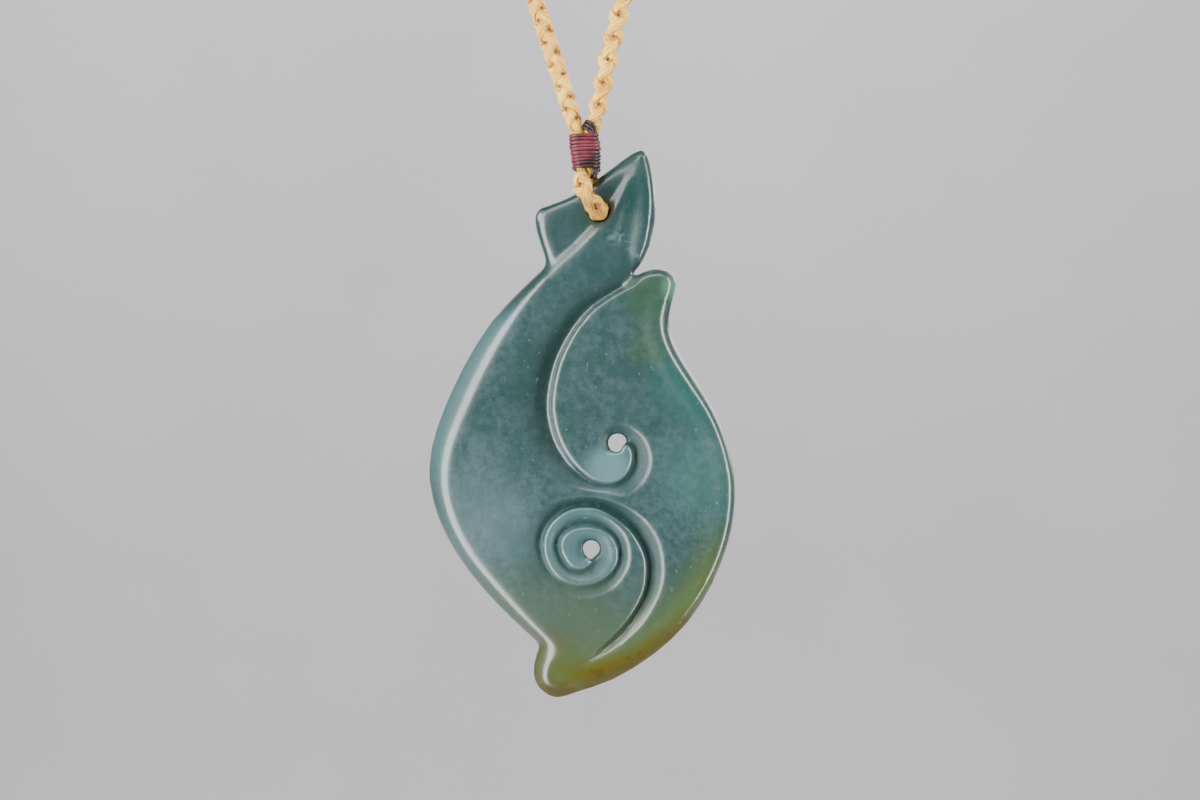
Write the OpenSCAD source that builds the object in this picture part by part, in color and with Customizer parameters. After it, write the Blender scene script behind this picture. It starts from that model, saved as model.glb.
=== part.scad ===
// Hei matau pendant: a carved jade fish hook on a braided cord loop, hanging as it is worn.
// Millimetres. X runs to the wearer's left, Y to the back and Z up; the carved face looks along -Y.
// The origin is where the loop sits on the nape.

/* [Hook] */
// Height of the face's dome above the middle plane, at the hook's middle
face_dome = 3.5; // [3:0.1:4]
// Height of the plain back's dome below the middle plane
back_dome = 3.2; // [2.5:0.1:3.6]
// Half width at which the domes would run out to the middle plane
dome_half_width = 53; // [45:1:70]
// Half height at which the domes would run out to the middle plane
dome_half_height = 62; // [55:1:80]
// Depth of the plain back's bevel at the stone's edge
back_bevel = 1.6; // [1:0.1:2]
// Radius of the suspension hole
hang_hole_r = 1.4; // [1.35:0.05:1.5]
// Radius of the hole in the barb's koru
upper_eye_r = 1.25; // [1:0.05:1.3]
// Radius of the hole in the lower koru
lower_eye_r = 1.15; // [1:0.05:1.2]

/* [Cord] */
// Radius of the four-strand braid
braid_r = 1.2; // [1:0.05:1.2]
// Radius of each leg where the lashing squeezes it
squeezed_r = 0.7; // [0.6:0.05:0.72]
// Sides of the plain tube that stands for the braid
braid_sides = 8; // [8:1:12]

/* [Bindings] */
// Thickness of the wound waxed thread
thread_t = 0.35; // [0.3:0.05:0.4]
// Length of the binding at the nape
nape_length = 12; // [10:1:14]

/* [Hidden] */

// Place of the suspension hole's middle, which every table of the hook is measured from
hang = [1.7, -115, -235];
// Middle of the domes, measured from the suspension hole
dome_mid = [-1.8, -29.6];
// Steps between two rows of a table
edge_steps = 2;
carve_steps = 2;
// Points across a carved floor
floor_steps = 5;
// Height at which a cutter ends above the stone
clear = 1.5;
// How far a bevel's cutter reaches past the stone's edge
past_edge = 0.12;
// Thickness of the sawn slab, and how far its corners are slipped along the edge, clear of the bevel's rows
slab_t = 12;
slip = 0.11;
// Width of the land that is left between a carved floor and the far line of its row
land = 0.14;

// Each row is a station of the stone's edge, clockwise as seen from the front, then the crest inside it:
// [edge x, edge z, crest x, crest z, depth at the crest, depth at the edge]
head_step_edge = [
    [-6.8, -6.7, -6.2, -6.4, 0.9, 1.9],
    [-7.4, -4.7, -6.8, -4.5, 0.9, 1.9],
    [-8.1, -2.6, -7.3, -2.6, 0.9, 1.9],
    [-8.3, -0.8, -7.3, -1.0, 0.9, 1.9],
    [-7.7, 0.4, -6.8, -0.3, 0.9, 1.9],
    [-5.6, 1.2, -5.1, 0.7, 0.9, 1.9],
    [-3.1, 2.3, -2.7, 1.6, 0.9, 1.9],
    [-0.9, 3.8, -0.4, 2.9, 0.9, 1.9],
    [1.7, 5.7, 2.2, 4.7, 0.8, 1.9],
    [4.0, 7.4, 4.5, 6.5, 0.6, 1.8],
    [5.8, 8.2, 5.3, 7.0, 0.2, 1.6],
];
head_ridge_edge = [
    [6.6, 6.8, 5.9, 6.4, 0, 1.6],
    [7.3, 3.1, 6.4, 3.1, 0, 1.7],
    [7.3, -0.8, 6.4, -0.7, 0, 1.8],
    [6.6, -4.3, 5.7, -3.8, 0, 1.9],
    [5.3, -7.0, 4.4, -6.2, 0, 2.0],
    [4.25, -8.1, 3.3, -7.4, 0, 2.0],
    [4.2, -8.4, 3.4, -9.0, 0, 2.0],
];
barb_edge = [
    [4.55, -8.5, 4.9, -9.4, 0, 1.9],
    [6.0, -7.7, 6.0, -8.6, 0, 1.8],
    [7.9, -7.4, 7.8, -8.3, 0, 1.6],
    [9.4, -7.9, 8.6, -8.8, 0, 1.6],
    [10.0, -9.2, 9.0, -9.6, 0, 1.6],
    [9.6, -11.2, 8.5, -11.1, 0, 1.7],
    [9.1, -13.4, 7.7, -13.3, 0, 1.8],
    [9.2, -15.7, 7.7, -15.6, 0, 1.9],
    [10.3, -18.3, 8.8, -18.7, 0, 2.0],
    [12.7, -22.1, 11.2, -22.5, 0, 2.0],
    [15.0, -25.9, 13.8, -26.1, 0, 1.9],
    [16.6, -30.0, 15.7, -30.2, 0, 1.8],
    [17.6, -34.3, 16.7, -34.3, 0, 1.8],
    [17.6, -38.5, 16.7, -38.4, 0, 1.8],
    [16.8, -43.0, 15.9, -42.6, 0, 1.8],
    [14.8, -48.1, 13.9, -47.6, 0, 1.8],
    [11.6, -53.2, 10.7, -52.3, 0, 1.8],
    [7.3, -57.3, 6.5, -56.2, 0, 1.8],
    [2.1, -60.6, 1.6, -59.1, 0, 1.8],
    [-2.7, -62.3, -2.9, -60.7, 0, 1.8],
    [-5.3, -63.1, -4.8, -61.4, 0, 1.8],
    [-7.0, -62.5, -6.0, -61.2, 0, 1.8],
    [-8.3, -61.0, -6.7, -60.6, 0, 1.9],
    [-8.5, -58.9, -6.5, -59.1, 0, 2.0],
    [-7.7, -56.3, -5.3, -56.9, 0, 2.2],
];
spine_edge = [
    [-7.8, -56.1, -5.5, -56.4, 0, 2.2],
    [-11.2, -53.0, -8.7, -53.0, 0, 2.2],
    [-14.8, -49.3, -12.1, -49.1, 0, 2.3],
    [-18.2, -44.9, -16.0, -44.8, 0, 2.3],
    [-20.7, -40.3, -18.5, -40.3, 0, 2.3],
    [-22.0, -35.5, -19.6, -35.6, 0, 2.3],
    [-21.8, -30.9, -19.1, -30.9, 0, 2.4],
    [-20.3, -26.0, -17.0, -26.0, 0, 2.5],
    [-17.7, -20.3, -14.2, -20.3, 0, 2.5],
    [-14.3, -14.7, -11.1, -14.7, 0, 2.4],
    [-10.5, -10.4, -8.2, -10.4, 0, 2.2],
    [-6.85, -7.0, -5.9, -7.7, 0, 2.0],
];

// Each row of a carved form goes across it, from its steep side to the side where it runs out:
// [steep x, steep z, far x, far z, depth at the far side, depth at the foot of the steep side]
head_plane = [
    [-6.0, -8.1, -10.3, -3.6, 0.9, 0.9],
    [-4.3, -6.7, -8.6, -2.1, 0.9, 0.9],
    [-2.5, -5.1, -7.0, 0.0, 0.9, 0.9],
    [-0.7, -3.2, -5.3, 2.1, 0.9, 0.9],
    [0.9, -1.4, -3.8, 3.9, 0.9, 0.9],
    [2.3, 0.6, -2.5, 5.5, 0.9, 0.9],
    [3.6, 2.7, -0.9, 6.8, 0.8, 0.8],
    [4.7, 4.5, 1.4, 8.1, 0.6, 0.6],
    [5.3, 6.0, 3.8, 9.1, 0.2, 0.2],
];
// The shank's hollow starts at the head's tip, runs out over the notch above the barb, and winds into
// the barb's koru. Its rows end with the width of their steep side and their bow
shank_hollow = [
    [5.9, 6.1, 5.3, 5.7, 0, 0.1, 0.5, 1.6],
    [6.2, 4.7, 4.8, 4.4, 0, 0.35, 1.1, 1.6],
    [6.5, 2.9, 4.0, 2.9, 0, 0.55, 1.9, 1.6],
    [6.6, 0.5, 2.5, 0.5, 0, 0.75, 2.8, 1.6],
    [6.7, -1.8, 0.8, -1.8, 0, 0.95, 3.4, 1.6],
    [6.8, -4.4, -1.7, -4.4, 0, 1.1, 3.2, 1.6],
    [6.2, -6.6, -4.0, -6.5, 0, 1.3, 2.4, 1.6],
    [4.9, -9.2, -6.0, -8.7, 0, 1.5, 1.0, 1.6],
    [2.4, -10.7, -8.1, -10.4, 0, 1.75, 0.6, 1.6],
    [-0.3, -12.4, -9.6, -12.2, 0, 1.9, 0.5, 1.6],
    [-2.5, -14.8, -11.1, -14.7, 0, 1.9, 0.5, 1.6],
    [-4.3, -17.9, -13.1, -17.9, 0, 1.9, 0.5, 1.6],
    [-5.4, -20.8, -14.4, -20.8, 0, 1.85, 0.5, 1.6],
    [-6.0, -24.4, -16.1, -24.2, 0, 1.75, 0.5, 1.6],
    [-5.8, -27.2, -16.2, -27.8, 0, 1.65, 0.5, 1.6],
    [-5.1, -29.6, -14.8, -31.2, 0, 1.5, 0.5, 1.6],
    [-4.2, -31.3, -12.0, -33.8, 0, 1.35, 0.5, 1.6],
    [-3.3, -32.5, -8.6, -35.4, 0, 1.2, 0.5, 1.5],
    [-2.2, -33.6, -5.0, -36.1, 0, 1.1, 0.5, 1.4],
    [-0.8, -34.6, -1.7, -36.5, 0, 1.0, 0.45, 1.2],
    [0.9, -35.0, 1.3, -36.7, 0, 1.0, 0.4, 1.1],
    [2.5, -34.7, 3.6, -37.4, 0, 1.05, 0.4, 1],
    [3.5, -33.8, 6.0, -35.6, 0, 1.15, 0.4, 1],
    [4.1, -32.6, 7.2, -32.9, 0, 1.2, 0.4, 1],
    [4.2, -31.3, 6.9, -30.7, 0, 1.2, 0.4, 1],
    [3.9, -30.6, 6.0, -28.9, 0, 1.25, 0.4, 1],
    [3.4, -30.1, 4.5, -27.6, 0, 1.35, 0.4, 1.1],
    [2.7, -29.9, 2.6, -26.9, 0, 1.45, 0.4, 1.2],
    [2.2, -29.9, 0.7, -27.2, 0, 1.5, 0.4, 1.4],
    [1.9, -30.1, -0.5, -28.4, 0, 1.4, 0.4, 1.5],
    [1.8, -30.3, -0.9, -30.3, 0, 1.1, 0.4, 1.5],
    [1.8, -30.7, -0.3, -31.9, 0, 0.6, 0.4, 1.5],
    [2.0, -31.1, 0.9, -32.5, 0, 0.05, 0.4, 1.5],
];
// The lower koru's groove winds outwards round its eye and runs out at the tail.
// Its rows end like those of the shank's hollow
lower_koru = [
    [-1.2, -45.2, 1.7, -46.5, 0, 0.9, 0.35, 1],
    [-1.6, -45.9, 0.5, -47.7, 0, 0.9, 0.35, 1],
    [-2.4, -46.2, -1.8, -48.2, 0, 0.95, 0.35, 1],
    [-3.4, -46.0, -4.2, -47.7, 0, 0.95, 0.35, 1],
    [-4.2, -45.1, -6.2, -46.0, 0, 0.95, 0.35, 1],
    [-4.8, -43.7, -7.0, -44.1, 0, 0.95, 0.35, 1],
    [-4.7, -42.4, -6.7, -41.9, 0, 0.95, 0.35, 1],
    [-3.8, -41.5, -5.5, -39.8, 0, 0.95, 0.35, 1],
    [-2.5, -41.0, -3.2, -38.5, 0, 0.95, 0.35, 1],
    [-0.9, -41.0, -0.6, -38.4, 0, 0.95, 0.35, 1],
    [0.7, -41.5, 1.7, -39.6, 0, 1.0, 0.35, 1],
    [1.8, -42.5, 3.5, -41.5, 0, 1.0, 0.35, 1],
    [2.3, -43.8, 4.2, -43.6, 0, 1.05, 0.35, 1],
    [2.3, -45.2, 4.1, -45.8, 0, 1.05, 0.35, 1],
    [1.6, -46.5, 3.2, -47.8, 0, 1.0, 0.35, 1],
    [0.5, -47.5, 1.6, -49.5, 0, 0.95, 0.35, 1],
    [-0.9, -48.1, -0.7, -50.3, 0, 0.85, 0.35, 1],
    [-2.5, -48.2, -2.9, -50.4, 0, 0.7, 0.35, 1],
    [-4.2, -47.8, -5.3, -49.8, 0, 0.6, 0.35, 1.2],
    [-5.6, -46.8, -7.9, -48.8, 0, 0.65, 0.35, 1.4],
    [-6.5, -45.5, -10.1, -46.5, 0, 0.85, 0.35, 1.6],
    [-7.0, -43.8, -10.7, -43.8, 0, 1.05, 0.35, 1.7],
    [-6.9, -42.0, -10.3, -41.1, 0, 1.2, 0.35, 1.7],
    [-6.0, -40.3, -8.8, -38.5, 0, 1.3, 0.35, 1.6],
    [-4.4, -39.0, -6.4, -37.1, 0, 1.35, 0.35, 1.4],
    [-2.5, -38.4, -3.4, -36.6, 0, 1.4, 0.35, 1.2],
    [-0.3, -38.5, 0.1, -36.7, 0, 1.4, 0.35, 1],
    [1.8, -39.5, 3.4, -37.8, 0, 1.4, 0.35, 1],
    [3.8, -41.1, 6.1, -39.6, 0, 1.4, 0.35, 1],
    [5.2, -43.1, 7.9, -42.1, 0, 1.4, 0.35, 1],
    [6.0, -45.2, 8.6, -45.2, 0, 1.4, 0.35, 1],
    [6.0, -47.6, 8.4, -48.5, 0, 1.4, 0.35, 1],
    [5.5, -49.7, 7.3, -51.2, 0, 1.35, 0.35, 1],
    [4.3, -51.9, 5.5, -54.0, 0, 1.3, 0.35, 1],
    [2.6, -54.1, 3.2, -56.0, 0, 1.2, 0.35, 1],
    [0.4, -56.2, 0.8, -57.6, 0, 1.0, 0.35, 1],
    [-1.7, -57.9, -1.4, -58.6, 0, 0.6, 0.35, 1],
    [-3.8, -59.2, -3.6, -59.6, 0, 0.05, 0.35, 1],
];
// The slope from the inner turn's crest down to the eye
eye_dish = [
    [-1.6, -44.7, -1.3, -45.5, 0, 0.5],
    [-1.7, -44.5, -2.4, -46.1, 0, 0.7],
    [-1.8, -44.2, -4.0, -45.4, 0, 0.75],
    [-1.9, -43.8, -4.8, -43.7, 0, 0.8],
    [-1.8, -43.4, -4.4, -42.0, 0, 0.8],
    [-1.4, -43.0, -3.1, -41.2, 0, 0.8],
    [-1.0, -42.9, -1.2, -40.9, 0, 0.8],
    [-0.6, -43.1, 0.7, -41.5, 0, 0.8],
    [-0.3, -43.4, 2.0, -43.0, 0, 0.8],
    [-0.3, -43.8, 2.3, -44.3, 0, 0.85],
    [-0.3, -44.2, 2.0, -46.0, 0, 0.9],
    [-0.5, -44.5, 1.0, -47.2, 0, 0.9],
    [-0.9, -44.9, -0.7, -48.0, 0, 0.9],
];
// The shallow hollow along the barb's outer crest
belly_dish = [
    [8.3, -10.4, 6.6, -9.4, 0, 0.03],
    [7.9, -12.2, 5.3, -11.4, 0, 0.4],
    [7.5, -14.3, 3.4, -14.3, 0, 0.55],
    [7.9, -16.6, 2.5, -18.2, 0, 0.6],
    [9.4, -19.8, 3.4, -22.5, 0, 0.6],
    [11.8, -23.3, 6.0, -26.4, 0, 0.6],
    [14.3, -27.0, 9.0, -29.6, 0, 0.6],
    [15.9, -30.8, 10.3, -32.9, 0, 0.55],
    [16.6, -34.6, 11.2, -35.8, 0, 0.5],
    [16.7, -38.4, 11.6, -39.0, 0, 0.45],
    [15.9, -42.6, 10.5, -43.3, 0, 0.4],
    [13.9, -47.6, 9.5, -47.6, 0, 0.35],
    [10.5, -52.0, 7.3, -52.0, 0, 0.25],
    [6.6, -55.8, 5.3, -54.6, 0, 0.03],
];

// Route of each leg from the middle of the suspension hole to the nape: [x, y, z, radius]
left_route = [
    [1.7, -115, -235, braid_r],
    [1.65, -117.2, -234.95, braid_r],
    [1.35, -118.8, -234.6, braid_r],
    [0.4, -119.3, -233.5, braid_r],
    [-0.4, -118.7, -232.1, braid_r],
    [-0.6, -117.4, -231, 1.05],
    [-0.5, -116.2, -229.95, 0.72],
    [-0.6, -115.8, -228.4, squeezed_r],
    [-1.05, -115, -224.8, squeezed_r],
    [-1.35, -115, -223.9, 0.8],
    [-1.7, -115, -222.8, 1.1],
    [-2.6, -114.9, -220, braid_r],
    [-6.6, -114.2, -207.4, braid_r],
    [-17, -110, -175, braid_r],
    [-42, -88, -98, braid_r],
    [-52, -70, -62, braid_r],
    [-58, -48, -33, braid_r],
    [-55, -25, -13, braid_r],
    [-42, -8, -4, braid_r],
    [-22, 0.4, -0.4, braid_r],
    [0, 1.75, 0, braid_r],
];
right_route = [
    [1.7, -115, -235, braid_r],
    [1.75, -112.7, -235, braid_r],
    [1.65, -111.2, -234.45, braid_r],
    [1.5, -110.5, -233.1, braid_r],
    [1.2, -110.9, -231.8, 1.1],
    [0.8, -112.15, -231, 0.93],
    [0.5, -113.8, -229.9, 0.72],
    [0.6, -114.2, -228.4, squeezed_r],
    [0.5, -115, -224.8, squeezed_r],
    [0.85, -115, -223.9, 0.8],
    [1.3, -115, -222.6, 1.1],
    [2, -114.9, -219.5, braid_r],
    [4.8, -114.2, -207.4, braid_r],
    [14, -110, -175, braid_r],
    [41, -88, -98, braid_r],
    [52, -70, -62, braid_r],
    [58, -48, -33, braid_r],
    [55, -25, -13, braid_r],
    [42, -8, -4, braid_r],
    [22, 0.4, -0.4, braid_r],
    [0, 1.75, 0, braid_r],
];
route_steps = 2;

// Sections of the lashing, from its bottom up: [middle x, middle y, z, half width, half depth]
lashing_rows = [
    [0.1, -115, -229.8, 1.85, 2.75],
    [0.05, -115, -228.4, 1.95, 2.1],
    [-0.1, -115, -226.5, 2.1, 1.75],
    [-0.3, -115, -224.7, 1.95, 1.45],
];
lashing_sides = 24;
// Power of the lashing's rounded outline; 2 would be an ellipse
lashing_power = 3.6;

// Middle of the thread's crossing in front of the gap between the legs, and its half sizes
knot_mid = [0.15, -116.05, -223.8];
knot_half = [0.55, 0.4, 0.5];

nape_mid = [0, 1.75, 0];
// Clearance between the nape's binding and the braid
nape_gap = 0.2;

// A smooth curve through the rows of a table, with the same number of columns
function between(a, b, c, d, t) =
    0.5 * (2 * b + (c - a) * t + (2 * a - 5 * b + 4 * c - d) * t * t + (3 * b - a - 3 * c + d) * t * t * t);
function smooth_rows(rows, steps) = [
    for (i = [0 : len(rows) - 2], k = [0 : steps - 1])
        between(rows[max(i - 1, 0)], rows[i], rows[i + 1], rows[min(i + 2, len(rows) - 1)], k / steps),
    rows[len(rows) - 1],
];

// Height of a dome over a place of the hook's plan
function dome(x, z, height) =
    height * (1 - pow((x - dome_mid[0]) / dome_half_width, 2) - pow((z - dome_mid[1]) / dome_half_height, 2));

// A point on the ruled line of a row, u = 0 at its far side and 1 at its steep side,
// at a depth under the dome
function carve_point(row, u, depth, height) =
    let (x = row[2] + (row[0] - row[2]) * u, z = row[3] + (row[1] - row[3]) * u)
        [x, depth - dome(x, z, height), z];

// The outline of a cutter at one row: above the far side, down the floor, up the steep side and above it
function carve_section(row, wall, bow, height) =
    let (
        span = norm([row[0] - row[2], row[1] - row[3]]),
        foot = wall > 0 ? 1 - min(0.8, wall / span) : 1 + past_edge / span,
        sunk = row[4] > 0.01,
        inner = sunk || wall == 0 ? 0 : min(0.3, land / span),
        start = sunk ? 0 : inner - 0.04,
        last = wall > 0 ? foot + 1.3 * (1 - foot) : 1 + 1.5 * past_edge / span,
        last_depth = wall > 0 ? -0.3 * row[5] : row[5] + past_edge
    ) [
        carve_point(row, start, -clear, height),
        carve_point(row, start, sunk ? (row[4] - clear) / 2 : -0.12, height),
        for (k = [0 : floor_steps])
            carve_point(row, inner + (foot - inner) * k / floor_steps,
                row[4] + (row[5] - row[4]) * pow(k / floor_steps, bow), height),
        carve_point(row, last, last_depth, height),
        carve_point(row, last, -clear, height),
    ];

// Does a table run with its far side on the right hand?
function right_handed(rows) =
    let (
        i = floor(len(rows) / 2),
        step = rows[i + 1] - rows[i],
        across = [rows[i][2] - rows[i][0], rows[i][3] - rows[i][1]]
    ) step[0] * across[1] < step[1] * across[0];

// Joins a list of sections, each a loop of the same number of points, into one solid
module skin(sections, closed, turned = false) {
    n = len(sections[0]);
    last = len(sections) - (closed ? 0 : 1);
    polyhedron(
        points = [for (s = sections, p = s) p],
        faces = concat(
            [for (i = [0 : last - 1], k = [0 : n - 1], half = [0, 1])
                let (
                    j = (i + 1) % len(sections),
                    a = i * n + k,
                    b = i * n + (k + 1) % n,
                    c = j * n + (k + 1) % n,
                    d = j * n + k
                ) turned ? (half == 0 ? [c, b, a] : [d, c, a]) : (half == 0 ? [a, b, c] : [a, c, d])],
            closed ? [] :
            turned ? [[for (k = [0 : n - 1]) k], [for (k = [n - 1 : -1 : 0]) last * n + k]] :
            [[for (k = [n - 1 : -1 : 0]) k], [for (k = [0 : n - 1]) last * n + k]]
        ),
        convexity = 10
    );
}

// wall is the width of every row's steep side, and bow is how late the floor falls on its way to it:
// 1 is even. A table whose rows end with their own needs neither
module carve(rows, wall = 0, bow = 1) {
    skin([for (row = smooth_rows(rows, carve_steps))
        carve_section(row, len(row) > 6 ? row[6] : wall, len(row) > 7 ? row[7] : bow, face_dome)],
        false, right_handed(rows));
}

module bevel(rows, height) {
    skin([for (row = rows) carve_section(row, 0, 1.5, height)], true, true);
}

// The whole edge, closed, in the order of its four tables
function hook_edge() = concat(
    smooth_rows(head_step_edge, edge_steps),
    smooth_rows(head_ridge_edge, edge_steps),
    smooth_rows(barb_edge, edge_steps),
    smooth_rows(spine_edge, edge_steps)
);

module slab() {
    edge = hook_edge();
    count = len(edge);
    rotate([90, 0, 0])
        linear_extrude(height = slab_t, center = true)
            polygon([for (i = [0 : count - 1])
                let (place = edge[i] + slip * (edge[(i + 1) % count] - edge[i])) [place[0], place[1]]]);
}

// Half of the lens that the slab is ground to: side -1 is the face and 1 the back.
// Every second row of its grid is shifted by half a step, so that no two facets lie in one plane
module dome_half(height, side) {
    across = 7;
    up = 11;
    low = [-29, -67];
    high = [22.5, 12];
    step = [(high[0] - low[0]) / across, (high[1] - low[1]) / up];
    places = [for (j = [0 : up], i = [0 : across])
        [low[0] + step[0] * (i + 0.5 * (j % 2)), low[1] + step[1] * j]];
    count = len(places);
    row = across + 1;
    top = [for (j = [0 : up - 1], i = [0 : across - 1], half = [0, 1])
        let (a = j * row + i, b = a + row, shifted = j % 2 == 1)
            half == 0 ? [a, a + 1, shifted ? b + 1 : b] : shifted ? [a, b + 1, b] : [a + 1, b + 1, b]];
    rim = concat(
        [for (i = [0 : across]) i],
        [for (j = [1 : up]) j * row + across],
        [for (i = [across - 1 : -1 : 0]) up * row + i],
        [for (j = [up - 1 : -1 : 1]) j * row]
    );
    walls = [for (k = [0 : len(rim) - 1]) let (a = rim[k], b = rim[(k + 1) % len(rim)])
        [b, a, a + count, b + count]];
    under = [for (f = top) [for (k = [2 : -1 : 0]) f[k] + count]];
    faces = concat(top, walls, under);
    polyhedron(
        concat([for (p = places) [p[0], side * dome(p[0], p[1], height), p[1]]],
            [for (p = places) [p[0], 0, p[1]]]),
        side < 0 ? [for (f = faces) [for (k = [len(f) - 1 : -1 : 0]) f[k]]] : faces
    );
}

// A hole drilled along Y at a place [x, z]. Its mouths are eased where it leaves the stone,
// front in front of the middle plane and back behind it
module drilled(place, r, front, back) {
    ease = 0.11;
    translate([place[0], 0, place[1]]) rotate([90, 0, 0]) {
        hull() {
            cylinder(r = r, h = slab_t, center = true, $fn = 32);
        }
        hull() {
            translate([0, 0, front - ease]) cylinder(r = r, h = 0.01, $fn = 32);
            translate([0, 0, front + ease]) cylinder(r = r + 2 * ease, h = 0.01, $fn = 32);
        }
        hull() {
            translate([0, 0, -back + ease]) cylinder(r = r, h = 0.01, $fn = 32);
            translate([0, 0, -back - ease]) cylinder(r = r + 2 * ease, h = 0.01, $fn = 32);
        }
    }
}

// A round bar through the whole slab at a place [x, z]
module upright(place, r, sides) {
    translate([place[0], 0, place[1]]) rotate([90, 0, 0])
        cylinder(r = r, h = slab_t, center = true, $fn = sides);
}

module jade_hook() {
    color([0.35, 0.47, 0.47]) translate(hang) difference() {
        intersection() {
            slab();
            union() {
                dome_half(face_dome, -1);
                dome_half(back_dome, 1);
            }
        }
        bevel(hook_edge(), face_dome);
        mirror([0, 1, 0])
            bevel([for (row = hook_edge()) [row[0], row[1], row[2], row[3], 0, back_bevel]], back_dome);
        carve(head_plane, 1.1, 1);
        carve(shank_hollow);
        carve(lower_koru);
        carve(belly_dish, 2.6, 1.2);
        carve(eye_dish, 0, 1);
        drilled([0, 0], hang_hole_r, 1.8, 2.4);
        difference() {
            drilled([2.4, -30], upper_eye_r, 3.5, 3.2);
            // The barb's tongue stands in front of the eye's lower right side
            hull() {
                upright([3.5, -30.65], 0.5, 24);
                upright([3.7, -32], 0.95, 24);
            }
        }
        drilled([-1, -43.7], lower_eye_r, 3.5, 3.2);
        // The lower eye is drawn out to a point under its middle
        hull() {
            upright([-1, -43.8], 1, 32);
            upright([-1.1, -45.2], 0.12, 16);
        }
    }
}

// Directions along a route, and a sideways direction carried along it without twisting
function tangents(p) = [for (i = [0 : len(p) - 1])
    let (v = p[min(i + 1, len(p) - 1)] - p[max(i - 1, 0)]) v / norm(v)];
function carried(t, i, side) =
    i == len(t) ? [] :
    let (v = side - (side * t[i]) * t[i], s = v / norm(v)) concat([s], carried(t, i + 1, s));

module braid(route) {
    rows = smooth_rows(route, route_steps);
    middle = [for (r = rows) [r[0], r[1], r[2]]];
    along = tangents(middle);
    ends = [for (i = [0 : len(along) - 1])
        i == 0 ? [0, along[0][1] > 0 ? 1 : -1, 0] :
        i == len(along) - 1 ? [along[i][0] > 0 ? 1 : -1, 0, 0] : along[i]];
    side = carried(ends, 0, [1, 0, 0]);
    skin([for (i = [0 : len(rows) - 1]) let (s = side[i], u = cross(ends[i], s))
        [for (k = [0 : braid_sides - 1]) let (a = 360 * (k + 0.5) / braid_sides)
            middle[i] + rows[i][3] * (cos(a) * s + sin(a) * u)]], false);
}

module braid_left() {
    color([0.88, 0.75, 0.55]) braid(left_route);
}

module braid_right() {
    color([0.86, 0.72, 0.52]) braid(right_route);
}

function rounded(a, power) = sign(a) * pow(abs(a), 2 / power);
function lashing_section(row, inset) = [for (k = [0 : lashing_sides - 1])
    let (a = 360 * k / lashing_sides)
        [row[0] + (row[3] - inset) * rounded(cos(a), lashing_power),
         row[1] + (row[4] - inset) * rounded(sin(a), lashing_power), row[2]]];

// A closed wall: its sections run up the outside and down the inside
module lashing() {
    last = len(lashing_rows) - 1;
    color([0.43, 0.18, 0.24]) skin(concat(
        [for (i = [0 : last]) lashing_section(lashing_rows[i], 0)],
        [for (i = [last : -1 : 0]) lashing_section(lashing_rows[i], thread_t)]
    ), true);
}

module lashing_knot() {
    color([0.25, 0.1, 0.14]) translate(knot_mid)
        resize(2 * knot_half) sphere(r = 1, $fn = 12);
}

module nape_binding() {
    color([0.43, 0.18, 0.24]) translate(nape_mid) rotate([0, 90, 0]) difference() {
        cylinder(r = braid_r + nape_gap + thread_t, h = nape_length, center = true, $fn = 32);
        cylinder(r = braid_r + nape_gap, h = nape_length + 1, center = true, $fn = 32);
    }
}

jade_hook();
braid_left();
braid_right();
lashing();
lashing_knot();
nape_binding();
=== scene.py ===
# Hei matau pendant: a carved jade fish hook on a braided cord loop, hanging as it is worn.
# Metres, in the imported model's frame: X to the wearer's left, Y to the back, Z up.
import math

import bmesh
import bpy
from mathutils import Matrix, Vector
from mathutils.kdtree import KDTree


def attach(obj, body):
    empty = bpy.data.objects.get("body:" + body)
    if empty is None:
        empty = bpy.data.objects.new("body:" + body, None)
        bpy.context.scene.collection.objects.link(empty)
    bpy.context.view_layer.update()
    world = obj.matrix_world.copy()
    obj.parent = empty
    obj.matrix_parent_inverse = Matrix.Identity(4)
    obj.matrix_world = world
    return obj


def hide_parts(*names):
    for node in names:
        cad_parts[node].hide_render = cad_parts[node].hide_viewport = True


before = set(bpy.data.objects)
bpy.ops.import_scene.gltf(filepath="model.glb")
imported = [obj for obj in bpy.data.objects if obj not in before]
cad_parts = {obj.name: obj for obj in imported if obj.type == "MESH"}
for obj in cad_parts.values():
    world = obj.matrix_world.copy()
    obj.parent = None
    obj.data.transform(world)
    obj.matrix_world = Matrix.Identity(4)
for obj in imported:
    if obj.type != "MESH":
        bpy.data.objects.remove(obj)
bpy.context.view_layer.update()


# Camera: a long lens, level with the pendant and square to its carved face. One photograph pixel is
# 0.13 mm on the stone, and the suspension hole is at the same pixel in both pictures.
MM = 0.001
PIXEL = 0.13 * MM
PHOTO_WIDTH, PHOTO_HEIGHT = 1200, 800
HOLE = Vector((1.7, -115, -235)) * MM
HOLE_PIXEL = (599, 212)
LENS, SENSOR = 100, 36

view_middle = Vector((
    HOLE.x + (PHOTO_WIDTH / 2 - HOLE_PIXEL[0]) * PIXEL,
    HOLE.y,
    HOLE.z - (PHOTO_HEIGHT / 2 - HOLE_PIXEL[1]) * PIXEL,
))
view_distance = PHOTO_WIDTH * PIXEL * LENS / SENSOR
camera_data = bpy.data.cameras.new("camera")
camera_data.lens = LENS
camera_data.sensor_width = SENSOR
camera_data.clip_start = 0.01
camera = bpy.data.objects.new("camera", camera_data)
camera.location = view_middle - Vector((0, view_distance, 0))
camera.rotation_euler = (math.radians(90), 0, 0)
bpy.context.scene.collection.objects.link(camera)
bpy.context.scene.camera = camera


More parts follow.
